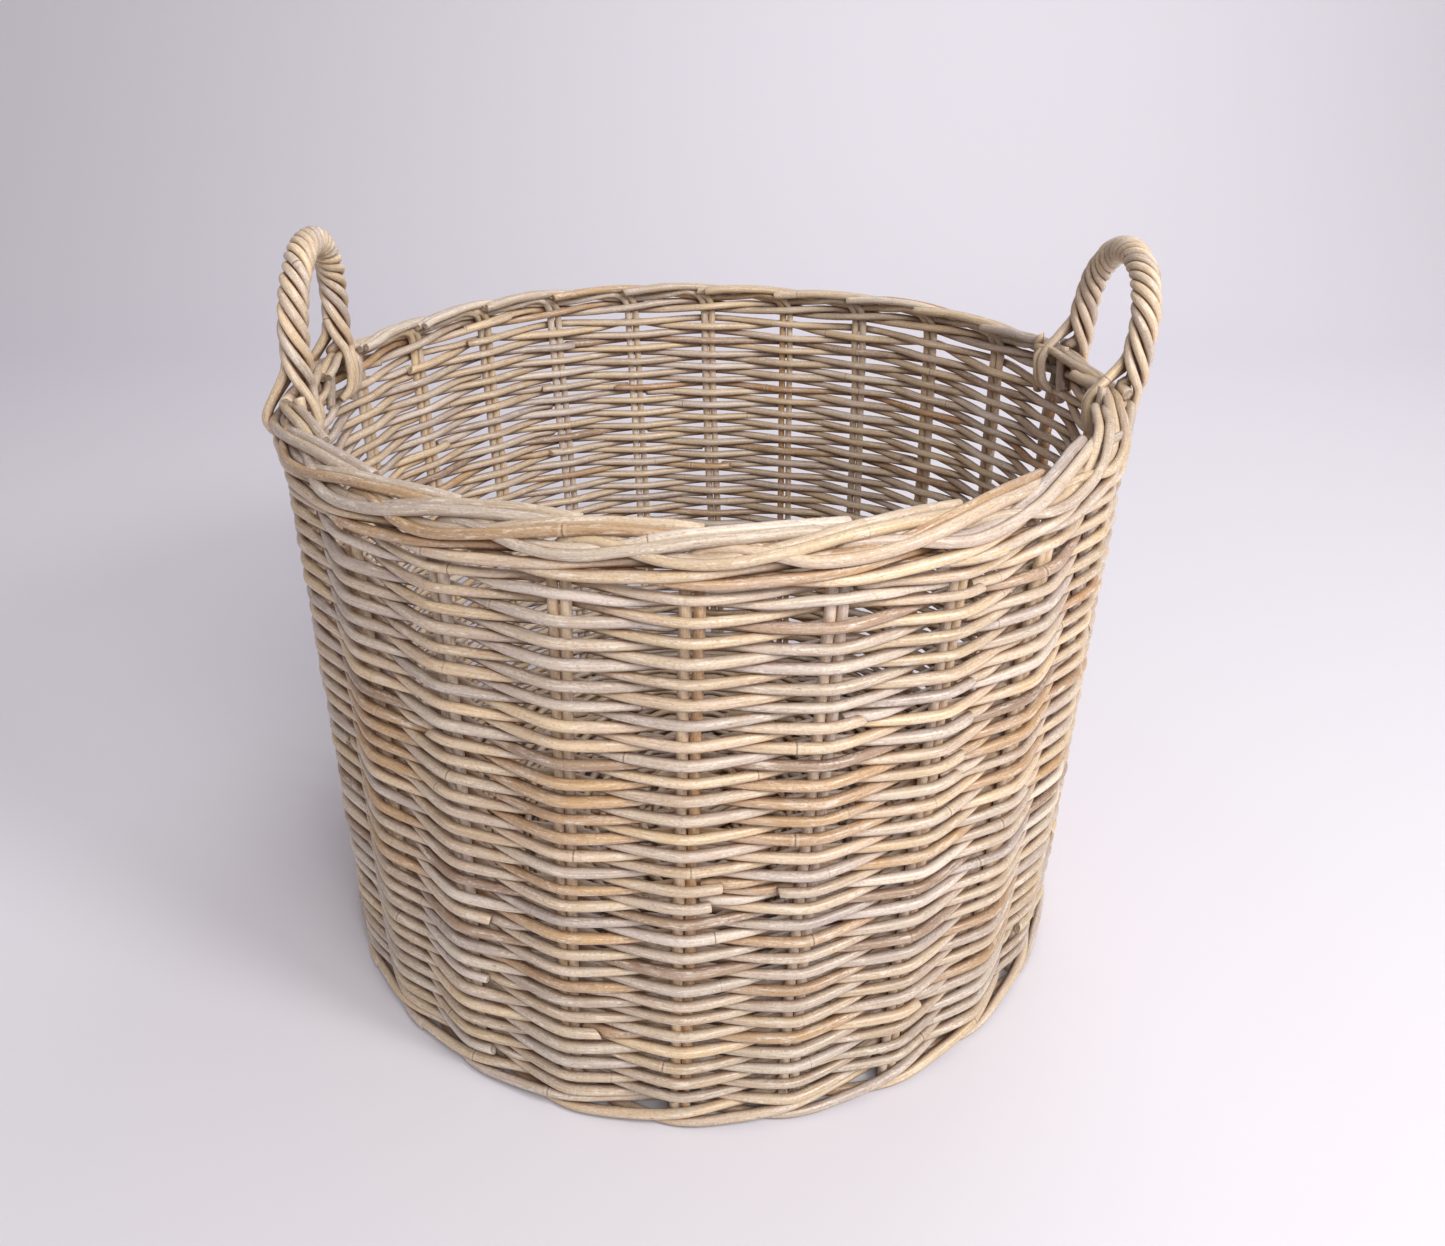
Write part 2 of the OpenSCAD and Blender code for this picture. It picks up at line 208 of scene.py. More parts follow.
class Piece:
    """One mesh of one or more canes."""

    def __init__(self, name):
        self.name = name
        self.verts, self.faces, self.mats = [], [], []
        self.cane, self.tint, self.joint, self.bend = [], [], [], []
        self.count = 0

    def add(self, path, radius, up, rng, tint, sides=12, cut=(0.0, 0.0), flat=1.0,
            joints=(150, 340)):
        """A round cane along `path`.

        `up` turns its section and `flat` squeezes it across that direction; `cut` slants its two
        ends; `joints` is the shortest and longest stretch between two joints.
        """
        path = np.asarray(path, float)
        n = len(path)
        s = lengths(path)
        t = heading(path)
        up = np.broadcast_to(np.asarray(up, float), (n, 3))
        b = np.cross(t, up)
        b /= np.linalg.norm(b, axis=1, keepdims=True)
        nrm = np.cross(b, t)
        offset = rng.uniform(0, 5000)
        gap = self.joint_gap(s, rng, joints)

        r = np.broadcast_to(np.asarray(radius, float), (n,)).copy()
        k = rng.uniform(0, 6.28, 4)
        r *= 1 + 0.025 * np.sin(s / 37 + k[0]) + 0.02 * np.sin(s / 13.7 + k[1])
        r *= 1 + 0.055 * np.exp(-(gap / SWELLING) ** 2)
        flat = np.broadcast_to(np.asarray(flat, float), (n,))

        th = np.linspace(0, 2 * np.pi, sides, endpoint=False)
        c, w = np.cos(th), np.sin(th)
        lump = (1 + 0.018 * np.sin(2 * th[None, :] + s[:, None] / 60 + k[2])
                + 0.012 * np.sin(3 * th[None, :] - s[:, None] / 45 + k[3]))
        rr = r[:, None] * lump
        dirs = (c[None, :, None] * nrm[:, None, :]
                + (w[None, :] * flat[:, None])[..., None] * b[:, None, :])
        ring = path[:, None, :] + rr[..., None] * dirs
        curve = np.gradient(t, axis=0) / np.gradient(s)[:, None]
        bend = -(dirs * curve[:, None, :]).sum(-1) * rr
        co = np.stack([rr * c, rr * w, np.broadcast_to(s[:, None] + offset, rr.shape)], -1)

        # the cut ends: a small chamfer, then a flat or slanting face
        ends = []
        for end, slope in ((0, cut[0]), (n - 1, cut[1])):
            out = -t[end] if end == 0 else t[end]
            tilt = slope * r[end] * np.cos(th - k[0])
            edge = ring[end] + out * np.maximum(tilt, -s[-1] / n)[:, None]
            inner = (path[end] + END_FACE * (ring[end] - path[end])
                     + out * (CHAMFER + END_FACE * tilt)[:, None])
            ends.append((edge, inner, path[end] + out * CHAMFER))
        ring[0], ring[-1] = ends[0][0], ends[1][0]
        self.verts.append(np.vstack([ring.reshape(-1, 3), ends[0][1], ends[0][2][None],
                                     ends[1][1], ends[1][2][None]]))
        self.add_faces(n, sides)

        def with_ends(grid, first, last):
            """Values of the rings, followed by those of the two cut ends."""
            grid = np.asarray(grid).reshape(n * sides, -1)
            shape = (sides + 1, grid.shape[1])
            return np.vstack([grid, np.broadcast_to(first, shape), np.broadcast_to(last, shape)])

        end_co = []
        for e in (0, n - 1):
            z = s[e] + offset
            rim = np.stack([END_FACE * rr[e] * c, END_FACE * rr[e] * w, np.full(sides, z)], 1)
            end_co.append(np.vstack([rim, [[0, 0, z]]]))
        self.cane.append(np.vstack([co.reshape(-1, 3), *end_co]))
        self.bend.append(with_ends(bend, 0.0, 0.0)[:, 0])
        self.joint.append(with_ends(np.repeat(gap, sides), gap[0], gap[-1])[:, 0])
        tint = np.broadcast_to(tint, (n, 3))
        tint = with_ends(np.repeat(tint, sides, axis=0), tint[0], tint[-1])
        self.tint.append(np.column_stack([tint, np.ones(len(tint))]))

    @staticmethod
    def joint_gap(s, rng, joints):
        """Distance to the nearest joint, where a leaf once grew.

        Its sign flips at each joint, so that it crosses zero there between two rings of the mesh.
        """
        at, x = [], rng.uniform(-200, 150)
        while x < s[-1] + 400:
            at.append(x)
            x += rng.uniform(*joints)
        at = np.array(at)
        i = np.searchsorted(at, s)
        before = s - at[np.clip(i - 1, 0, len(at) - 1)]
        after = at[np.clip(i, 0, len(at) - 1)] - s
        gap = np.minimum(np.where(i == 0, 99, before), np.where(i >= len(at), 99, after))
        return gap.clip(0, FAR_JOINT) * np.where(i % 2 == 0, 1.0, -1.0)

    def add_faces(self, n, sides):
        """The faces of one cane: its skin, then the chamfer and the end grain of both ends."""
        ids = self.count + np.arange(n * sides).reshape(n, sides)
        quads = np.stack([ids[:-1], np.roll(ids[:-1], -1, axis=1),
                          np.roll(ids[1:], -1, axis=1), ids[1:]], -1).reshape(-1, 4)
        self.faces.extend(quads.tolist())
        self.mats.extend([0] * len(quads))
        start_in = self.count + n * sides
        start_mid = start_in + sides
        end_in = start_mid + 1
        end_mid = end_in + sides
        for j in range(sides):
            q = (j + 1) % sides
            self.faces += [[ids[0, q], ids[0, j], start_in + j, start_in + q],
                           [start_in + q, start_in + j, start_mid],
                           [ids[-1, j], ids[-1, q], end_in + q, end_in + j],
                           [end_in + j, end_in + q, end_mid]]
            self.mats += [0, 1, 0, 1]
        self.count = end_mid + 1

    def build(self, slot, nodes, materials):
        """Make the mesh, which replaces the CAD nodes named in `nodes`."""
        mesh = bpy.data.meshes.new(self.name)
        mesh.from_pydata((np.vstack(self.verts) * MM).tolist(), [], self.faces)
        for name, kind, field, data in (("cane", "FLOAT_VECTOR", "vector", np.vstack(self.cane)),
                                        ("tint", "FLOAT_COLOR", "color", np.vstack(self.tint)),
                                        ("joint", "FLOAT", "value", np.concatenate(self.joint)),
                                        ("bend", "FLOAT", "value", np.concatenate(self.bend))):
            values = mesh.attributes.new(name, kind, "POINT").data
            values.foreach_set(field, data.astype(np.float32).ravel())
        for m in materials:
            mesh.materials.append(m)
        mesh.polygons.foreach_set("material_index", np.array(self.mats, np.int32))
        mesh.shade_smooth()
        sharp = mesh.attributes.new("sharp_face", "BOOLEAN", "FACE")
        sharp.data.foreach_set("value", np.array(self.mats, bool))
        mesh.update()
        obj = bpy.data.objects.new(self.name, mesh)
        bpy.context.scene.collection.objects.link(obj)
        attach(obj, "root")
        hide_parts(*nodes)


# ---- materials ----

class Nodes:
    """Short names for making shader nodes."""

    def __init__(self, material):
        self.tree = material.node_tree
        self.tree.nodes.clear()

    def new(self, kind, **values):
        node = self.tree.nodes.new(kind)
        for key, value in values.items():
            setattr(node, key, value)
        return node

    def link(self, a, b):
        self.tree.links.new(a, b)

    def attribute(self, name):
        return self.new("ShaderNodeAttribute", attribute_name=name)

    def maths(self, operation, a, b=None, clamp=False):
        node = self.new("ShaderNodeMath", operation=operation, use_clamp=clamp)
        for i, v in enumerate((a, b)):
            if v is None:
                continue
            if isinstance(v, (int, float)):
                node.inputs[i].default_value = v
            else:
                self.link(v, node.inputs[i])
        return node.outputs[0]

    def span(self, value, low, high, to_low=0.0, to_high=1.0):
        """A smooth step of `value` from low to high."""
        node = self.new("ShaderNodeMapRange", interpolation_type="SMOOTHSTEP")
        self.link(value, node.inputs["Value"])
        for name, v in (("From Min", low), ("From Max", high),
                        ("To Min", to_low), ("To Max", to_high)):
            node.inputs[name].default_value = v
        return node.outputs[0]

    def noise(self, vector, density, detail=3.0, roughness=0.55, distortion=0.0):
        """Noise with `density` waves per unit along each axis."""
        mapping = self.new("ShaderNodeMapping")
        mapping.inputs["Scale"].default_value = density
        self.link(vector, mapping.inputs["Vector"])
        node = self.new("ShaderNodeTexNoise")
        node.inputs["Scale"].default_value = 1.0
        node.inputs["Detail"].default_value = detail
        node.inputs["Roughness"].default_value = roughness
        node.inputs["Distortion"].default_value = distortion
        self.link(mapping.outputs[0], node.inputs["Vector"])
        return node.outputs["Fac"]

    def mix(self, factor, a, b, blend="MIX"):
        node = self.new("ShaderNodeMix", data_type="RGBA", blend_type=blend)
        for socket, v in ((node.inputs[0], factor), (node.inputs[6], a), (node.inputs[7], b)):
            if isinstance(v, (int, float)):
                socket.default_value = v
            elif isinstance(v, tuple):
                socket.default_value = (*v[:3], 1.0)
            else:
                self.link(v, socket)
        return node.outputs[2]

    def times(self, colour, factors):
        return self.mix(1.0, colour, factors, "MULTIPLY")

    def finish(self, colour, roughness, height, strength, distance, specular=0.5):
        """A Principled surface with a bump, as the material's output."""
        bsdf = self.new("ShaderNodeBsdfPrincipled")
        self.link(colour, bsdf.inputs["Base Color"])
        if isinstance(roughness, float):
            bsdf.inputs["Roughness"].default_value = roughness
        else:
            self.link(roughness, bsdf.inputs["Roughness"])
        bsdf.inputs["Specular IOR Level"].default_value = specular
        bump = self.new("ShaderNodeBump")
        bump.inputs["Strength"].default_value = strength
        bump.inputs["Distance"].default_value = distance
        self.link(height, bump.inputs["Height"])
        self.link(bump.outputs[0], bsdf.inputs["Normal"])
        out = self.new("ShaderNodeOutputMaterial")
        self.link(bsdf.outputs[0], out.inputs["Surface"])


CREVICE = 0.008         # metres between canes within which painted shade darkens the crevices
STREAK = (0.78, 0.68, 0.60)


def rattan(name, grey=0.45, specks=0.6, gloss=0.29, under=0.0, crevice_shade=0.85):
    """Natural rattan with its skin on: streaks along the cane, joints, greyed patches and scuffs,
    with painted shade on the underside and in the crevices.

    `grey` is how far the greyed patches go, `specks` how dark the specks are, `gloss` the middle
    roughness, `under` the painted shade of the underside and the last the painted shade in the
    crevices.
    """
    m = bpy.data.materials.new(name)
    m.use_nodes = True
    n = Nodes(m)
    cane = n.attribute("cane").outputs["Vector"]
    tint = n.attribute("tint").outputs["Color"]
    joint = n.maths("ABSOLUTE", n.attribute("joint").outputs["Fac"])
    bend = n.attribute("bend").outputs["Fac"]

    fibre = n.noise(cane, (0.9, 0.9, 0.03), 4.0, 0.6)
    broad = n.noise(cane, (0.12, 0.12, 0.012), 3.0, 0.5)
    patch = n.noise(cane, (0.22, 0.22, 0.05), 4.0, 0.62, 0.4)
    grain = n.noise(cane, (1.6, 1.6, 0.5), 3.0, 0.6)

    base = n.mix(n.span(broad, 0.38, 0.62), n.times(tint, (1.03, 1.0, 0.92)),
                 n.times(tint, (0.90, 0.87, 0.89)))
    base = n.mix(n.span(fibre, 0.46, 0.64, 0.0, 0.6), base, n.times(base, STREAK))
    base = n.mix(n.span(patch, 0.48, 0.72, 0.0, grey), base, srgb(200, 188, 178))
    bleach = n.span(n.noise(cane, (0.35, 0.35, 0.07), 3.0, 0.6), 0.56, 0.70, 0.0, 0.6)
    base = n.mix(bleach, base, srgb(234, 221, 206))

    # painted shade on the underside of a weaver
    if under:
        down = n.new("ShaderNodeSeparateXYZ")
        n.link(cane, down.inputs[0])
        shade = n.span(down.outputs["Y"], 0.3, 2.9, 0.0, under)
        base = n.mix(shade, base, n.times(base, (0.5, 0.38, 0.30)))

    # fine mottling, and worn streaks along the cane
    fine = n.noise(cane, (1.0, 1.0, 0.45), 3.0, 0.7)
    base = n.mix(n.span(fine, 0.34, 0.52, 0.6, 0.0), base, n.times(base, STREAK))
    worn = n.span(n.noise(cane, (0.9, 0.9, 0.06), 3.0, 0.65), 0.53, 0.62, 0.0, 0.48)
    worn = n.maths("MULTIPLY", worn, n.span(fine, 0.42, 0.56), clamp=True)
    base = n.mix(worn, base, srgb(242, 234, 222))

    # fine pale ticks across the outside of a bend, and scuffed patches
    tick = n.noise(cane, (0.25, 0.25, 1.6), 2.0, 0.5)
    where = n.maths("MULTIPLY", n.span(bend, 0.02, 0.16), n.span(grain, 0.4, 0.6), clamp=True)
    ticks = n.maths("MULTIPLY", n.span(tick, 0.54, 0.62), where, clamp=True)
    base = n.mix(n.maths("MULTIPLY", ticks, 0.45), base, srgb(240, 230, 216))

    # dark specks and short scores along the grain
    dash = n.noise(cane, (0.75, 0.75, 0.16), 2.0, 0.45, 0.2)
    spot = n.maths("MULTIPLY", n.span(dash, 0.69, 0.75), n.span(grain, 0.42, 0.55), clamp=True)
    base = n.mix(n.maths("MULTIPLY", spot, specks), base, srgb(92, 66, 50))

    # the joints: a dark line with a pale band and a brown stain, plainer on some canes
    wobble = n.maths("ADD", joint, n.maths("MULTIPLY", n.maths("SUBTRACT", grain, 0.5), 0.8))
    marked = n.span(n.noise(cane, (0.0, 0.0, 0.006), 0.0, 0.0), 0.46, 0.56)
    stain = n.maths("MULTIPLY", n.span(wobble, 0.8, 6.0, 0.3, 0.0), marked)
    base = n.mix(stain, base, n.times(base, (0.74, 0.64, 0.54)))
    band = n.maths("MULTIPLY", n.span(wobble, 0.5, 0.9), n.span(wobble, 1.6, 2.4, 1.0, 0.0),
                   clamp=True)
    band = n.maths("MULTIPLY", band, marked)
    base = n.mix(n.maths("MULTIPLY", band, 0.3), base, srgb(228, 214, 194))
    depth = n.maths("ADD", n.maths("MULTIPLY", marked, 0.6), 0.12)
    line = n.maths("MULTIPLY", n.span(wobble, 0.12, 0.45, 1.0, 0.0), depth)
    base = n.mix(line, base, srgb(104, 78, 58))

    # painted shade where canes press together, darker where ambient occlusion finds them close
    near = n.new("ShaderNodeAmbientOcclusion", samples=6)
    near.inputs["Distance"].default_value = CREVICE
    base = n.mix(n.span(near.outputs["AO"], 0.3, 0.88, crevice_shade, 0.0), base,
                 n.times(base, (0.34, 0.21, 0.15)))

    rough = n.span(grain, 0.25, 0.75, gloss - 0.07, gloss + 0.16)
    rough = n.maths("ADD", rough, n.maths("MULTIPLY", bleach, 0.2), clamp=True)
    height = n.maths("ADD", n.maths("MULTIPLY", fibre, 0.10), n.maths("MULTIPLY", grain, 0.05))
    height = n.maths("SUBTRACT", height, n.maths("MULTIPLY", line, 0.12))
    height = n.maths("SUBTRACT", height, n.maths("MULTIPLY", spot, 0.06))
    n.finish(base, rough, height, strength=0.8, distance=0.001, specular=0.55)
    return m


def cut_end(name):
    """The end grain of a cut cane: pale pith with dark pores and a brown skin."""
    m = bpy.data.materials.new(name)
    m.use_nodes = True
    n = Nodes(m)
    cane = n.attribute("cane").outputs["Vector"]
    tint = n.attribute("tint").outputs["Color"]
    pores = n.new("ShaderNodeTexVoronoi")
    pores.inputs["Scale"].default_value = 1.7
    n.link(cane, pores.inputs["Vector"])
    stain = n.noise(cane, (0.4, 0.4, 0.4), 3.0, 0.6)
    base = n.mix(n.span(stain, 0.35, 0.65, 0.15, 0.75), tint, srgb(120, 92, 70))
    distance = pores.outputs["Distance"]
    base = n.mix(n.span(distance, 0.1, 0.3, 0.75, 0.0), base, srgb(66, 46, 34))
    n.finish(base, 0.85, distance, strength=0.7, distance=0.0006)
    return m


CUT = cut_end("cut_cane_end")
WALL = (rattan("rattan_weaver", under=0.75), CUT)
STAKE = (rattan("rattan_stake", grey=0.2, crevice_shade=0.15), CUT)
WALE = (rattan("rattan_wale", grey=0.5, under=0.75), CUT)
ROPE = (rattan("rattan_handle", grey=0.25, specks=0.35, gloss=0.38), CUT)
BASE = (rattan("rattan_base", grey=0.5), CUT)


# ---- the wall ----

RINGS_PER_PAIR = 14     # rings of mesh from one stake pair to the next


def radial(path):
    """The outward direction at each point of a path."""
    out = path.copy()
    out[:, 2] = 0
    return out / np.linalg.norm(out, axis=1, keepdims=True)


def zigzag(u):
    """1 at even u, -1 at odd u, nearly straight between."""
    sharpness = 0.965
    return np.arcsin(sharpness * np.cos(np.pi * u)) / math.asin(sharpness)


def row_z(j):
    return ROW_Z + ROW_PITCH * j


OVERLAP = 0.13          # pairs that a cane's hidden end goes on past the join
BEHIND = -5.2           # how much further in a cane's hidden end lies at a splice
PROUD = 0.3             # how much further out an end lies that stops on the face of the wall


def build_rows():
    """The 58 rows of the wall, each of two canes spliced end to end."""
    for j in range(ROWS):
        rng = rng_for(2, j)
        side = 1 if j % 2 else -1
        z = row_z(j) + rng.normal(0, 0.28)
        phase = rng.uniform(0, 6.28, 3)
        first = int(rng.integers(0, PAIRS))
        starts = [first, first + int(rng.integers(8, 16))]
        joins = [(rng.uniform(0.15, 0.3), rng.random() < 0.25) for _ in starts]
        course = "weave_course_%02d" % (j // 2 + 1)
        for i, start in enumerate(starts):
            end = starts[1] if i == 0 else starts[0] + PAIRS
            reach, on_top = joins[i]
            reach2, on_top2 = joins[(i + 1) % 2]
            # at a join one cane stops on the face of the wall and the other starts behind it
            u0 = start - reach if on_top else start + OVERLAP
            u1 = end - OVERLAP if on_top2 else end + reach2
            n = int((u1 - u0) * RINGS_PER_PAIR) + 1
            u = np.linspace(u0, u1, n)
            wave = zigzag(u) * side
            face0, face1 = zigzag(start) * side, zigzag(end) * side
            amp = WEAVE_AMP + 0.35 * np.sin(u * 0.9 + phase[0])
            out = wave * amp
            out += face0 * (PROUD if on_top else BEHIND) * (1 - smooth((u - u0) / 0.35))
            out += face1 * (BEHIND if on_top2 else PROUD) * (1 - smooth((u1 - u) / 0.35))
            zz = z + 0.35 * np.sin(u * 0.7 + phase[1]) + 0.25 * np.sin(u * 2.3 + phase[2])
            zz = zz + inner_lift(j, wave)
            if j == ROWS - 2:   # it rises towards the wale, where the stakes are bare
                zz = zz + 3.2 * smooth(wave)
            path = place(u, out, zz)
            r = WEAVER_R * (1 + rng.normal(0, 0.055))
            r = np.linspace(r, r * (1 + rng.normal(0, 0.04)), n)
            pinch = 1.0 - 0.07 * np.exp(-((wave / 0.35) ** 2))
            piece = Piece("row_%02d_%s" % (j + 1, "ab"[i]))
            cuts = rng.uniform(0.0, 0.9, 2)
            # painted shade: the rows are darker towards the floor, where less light falls on the
            # wall
            tint = pick_tint(rng) * (0.84 + 0.16 * smooth(z / 240.0))   # duller towards the floor
            piece.add(path, r, radial(path), rng, tint, cut=cuts, flat=pinch)
            piece.build("weaver_cane", [course], WALL)


def inner_lift(j, wave):
    """The lowest rows climb over the legs of the stakes where they pass inside."""
    climb = {0: 6.8, 1: 1.2, 2: 0.8}.get(j, 0.0)
    return climb * smooth((-wave - 0.3) / 0.6)


def build_wale(where, levels):
    """Three rods, each outside two pairs while it climbs and inside the third as it drops."""
    for rod in range(3):
        rng = rng_for(3, len(where), rod)
        first = int(rng.integers(0, PAIRS))
        starts = [first, first + int(rng.integers(9, 15))]
        for i, start in enumerate(starts):
            end = starts[1] if i == 0 else starts[0] + PAIRS
            u0, u1 = start - 0.35, end + 0.3
            n = int((u1 - u0) * RINGS_PER_PAIR) + 1
            u = np.linspace(u0, u1, n)
            phase = (u - rod) % 3.0
            out, z = levels(phase)
            out = out - 3.5 * (1 - smooth((u - u0) / 0.5)) + 0.6 * (1 - smooth((u1 - u) / 0.3))
            z = z + 0.4 * np.sin(u * 1.1 + rod * 2 + rng.uniform(0, 6))
            path = place(u, out, z)
            r = np.full(n, WALE_R * (1 + rng.normal(0, 0.04)))
            piece = Piece("%s_wale_rod_%d_%s" % (where, rod + 1, "ab"[i]))
            tint = pick_tint(rng)
            piece.add(path, r, radial(path), rng, tint, cut=rng.uniform(0.1, 0.8, 2))
            piece.build("wale_cane", ["%s_wale_rod_%d" % (where, rod + 1)], WALE)


def around(phase, values):
    """A smooth closed curve through values half a pair apart, in a pattern three pairs long."""
    x = np.arange(-3.0, 6.0, 0.5)
    y = np.concatenate([values] * 3)
    s = np.gradient(y, x)
    i = np.clip(np.searchsorted(x, phase) - 1, 0, len(x) - 2)
    h = x[i + 1] - x[i]
    t = (phase - x[i]) / h
    return ((2 * t**3 - 3 * t**2 + 1) * y[i] + (t**3 - 2 * t**2 + t) * h * s[i]
            + (-2 * t**3 + 3 * t**2) * y[i + 1] + (t**3 - t**2) * h * s[i + 1])


def top_wale(phase):
    out = around(phase, [6.9, 6.6, 6.6, 0.3, -6.4, -0.5])
    z = around(phase, [364.6, 366.2, 369.4, 371.4, 369.0, 365.6])
    return out, z


def foot_wale(phase):
    out = around(phase, [6.9, 6.9, 6.7, 0.3, -6.4, -0.5])
    z = around(phase, [4.1, 6.4, 10.4, 12.4, 8.0, 3.9])
    return out, z


# ---- stakes and border ----

def beside(u, shift, r):
    """The place `shift` millimetres round from place u at radius r."""
    return u + math.degrees(shift / r) * PAIRS / 360.0


def stake_path(k, side):
    """A stake from the tip of its leg beside the base sticks to the top of the wall."""
    points = []
    for r, half, z in ((203.0, 6.6, LEG_Z), (222.0, 5.4, LEG_Z), (238.0, 4.2, LEG_Z + 0.2),
                       (247.0, 3.6, LEG_Z + 1.2)):
        points.append(place(beside(k, side * half, r), r - wall_r(z), z))
    for z in (25.0, 34.0):
        points.append(place(beside(k, side * PAIR_HALF, wall_r(z)), 0.0, z))
    rng = rng_for(4, k, side + 1)
    for z in np.linspace(60.0, 350.0, 12):
        gap = PAIR_HALF + rng.normal(0, 0.22)
        points.append(place(beside(k, side * gap, wall_r(z)), rng.normal(0, 0.15), z))
    return points


# Two canes run side by side round the border: pairs on from their own stakes, radius and height.
BORDER = [
    (0.00, 265.2, 364.0),
    (0.02, 264.4, 372.5),
    (0.09, 263.2, 378.6),
    (0.26, 263.2, 380.8),
    (0.50, 265.4, 379.2),
    (0.75, 269.4, 376.6),
    (1.00, 270.6, 375.6),
    (1.25, 270.2, 377.0),
    (1.50, 268.8, 379.6),
    (1.75, 266.8, 382.6),
    (2.00, 264.0, 385.0),
    (2.30, 260.6, 386.2),
    (2.60, 257.8, 386.2),
    (2.85, 256.0, 385.2),
    (3.06, 255.0, 383.6),
]
BORDER_HALF = 3.2       # from the middle of two border canes to the middle of each


def border_path(k, side, rng):
    """The same cane laid down round the rim, from the outside over to the inside."""
    stop = BORDER[-1][0] + rng.normal(0, 0.05) + (0.03 if side > 0 else 0.0)
    points = []
    for v, r, z in BORDER[:-1] + [(stop, *BORDER[-1][1:])]:
        # the pair stands side by side round the wall, then turns to lie side by side across the rim
        turn = smooth((v - 0.02) / 0.45)
        shift = side * PAIR_HALF * (1 - turn)
        across = -side * BORDER_HALF * turn
        z = z + side * 0.9 * math.sin(math.pi * turn) + (0.5 * side if v > 1.7 else 0.0)
        z = z + rng.normal(0, 0.25)
        out = r + across - wall_r(z) + rng.normal(0, 0.25)
        points.append(place(beside(k + v, shift, r), out, z, drift=1.0 - turn * 0.5))
    return points


def build_stakes():
    for k in range(PAIRS):
        for side, word, nodes in ((-1, "left", ["side_stakes", "border_lower_canes"]),
                                  (1, "right", ["bye_stakes", "border_upper_canes"])):
            rng = rng_for(5, k, side + 1)
            path = spline(stake_path(k, side) + border_path(k, side, rng), 4.5)
            r = STAKE_R * (1 + rng.normal(0, 0.04))
            r = r * (1 + 0.04 * smooth((lengths(path) - 520) / 80))
            piece = Piece("stake_%02d_%s" % (k + 1, word))
            # painted light: paler in the wall, where the weavers shade it, than in the border
            tint = pick_tint(rng, 0.6, 0.15) * (1.3 - 0.37 * smooth((path[:, 2:] - 345.0) / 20.0))
            piece.add(path, r, steady_up(path), rng, tint, cut=(0.8, rng.uniform(0.0, 0.5)))
            # the short peg that the foot wale is woven round
            peg = place(beside(k, side * PAIR_HALF, FOOT_R), 0.0, np.array([1.0, 5.0, 9.0, 13.2]))
            piece.add(peg, STAKE_R, radial(peg), rng, tint[0], sides=10, cut=(0.1, 0.5))
            piece.build("stake_cane", nodes, STAKE)


def steady_up(path):
    """A direction carried along the path without twisting."""
    t = heading(path)
    up = np.empty_like(path)
    first = np.array([0.0, 0.0, 1.0]) if abs(t[0][2]) < 0.9 else path[0] * [1, 1, 0]
    v = first - t[0] * (first @ t[0])
    up[0] = v / np.linalg.norm(v)
    for i in range(1, len(path)):
        v = up[i - 1] - t[i] * (up[i - 1] @ t[i])
        up[i] = v / np.linalg.norm(v)
    return up


# ---- base ----

STICKS = 6              # in each of the two layers that cross
STICK_R, STICK_GAP = 3.0, 6.5
STICK_RISE = 3.1        # of each layer, away from the other where they cross
BASE_R = 2.9            # radius of a base weaver
BASE_PITCH = 5.9
CLOSING_R, CLOSING_LIFT = 239.8, 5.9    # the last round, over and under the sticks
HOOP_R, HOOP_Z, HOOP_CANE_R = 234.0, 4.2, 3.8
FAN_TURN = math.degrees(float(pair_angle(2.5, LEG_Z)))


def turned(points, degrees):
    """Points turned about the Z axis."""
    a = math.radians(degrees)
    m = np.array([[math.cos(a), -math.sin(a), 0], [math.sin(a), math.cos(a), 0], [0, 0, 1]])
    return np.asarray(points) @ m.T


def circle(r, a, z):
    """Points round the Z axis at radius r, angle a and height z."""
    return np.stack([r * np.cos(a), r * np.sin(a), z], 1)


def build_sticks():
    """Two layers of sticks that cross in the middle and fan out into 24 spokes."""
    for layer, word, rise in ((0, "lower", -STICK_RISE), (1, "upper", STICK_RISE)):
        for j in range(STICKS):
            rng = rng_for(6, layer, j)
            spot = j - (STICKS - 1) / 2
            y, a = spot * STICK_GAP, math.radians(spot * 360.0 / PAIRS)
            half = [(r * math.cos(a), r * math.sin(a), LEG_Z + part * rise)
                    for r, part in ((208, 0.0), (120, 0.0), (70, 0.2))]
            half += [(46, y * 1.45, LEG_Z + 0.7 * rise),
                     (26, y, LEG_Z + rise), (8, y, LEG_Z + rise)]
            points = half + [(-x, y, z) for x, y, z in reversed(half)]
            path = turned(spline(points, 5.0), FAN_TURN + 90 * layer)
            piece = Piece("base_stick_%s_%d" % (word, j + 1))
            piece.add(path, STICK_R, (0, 0, 1), rng, pick_tint(rng, 0.6, 0.1),
                      sides=10, cut=(0.7, 0.7))
            piece.build("base_cane", ["base_sticks_" + word], BASE)


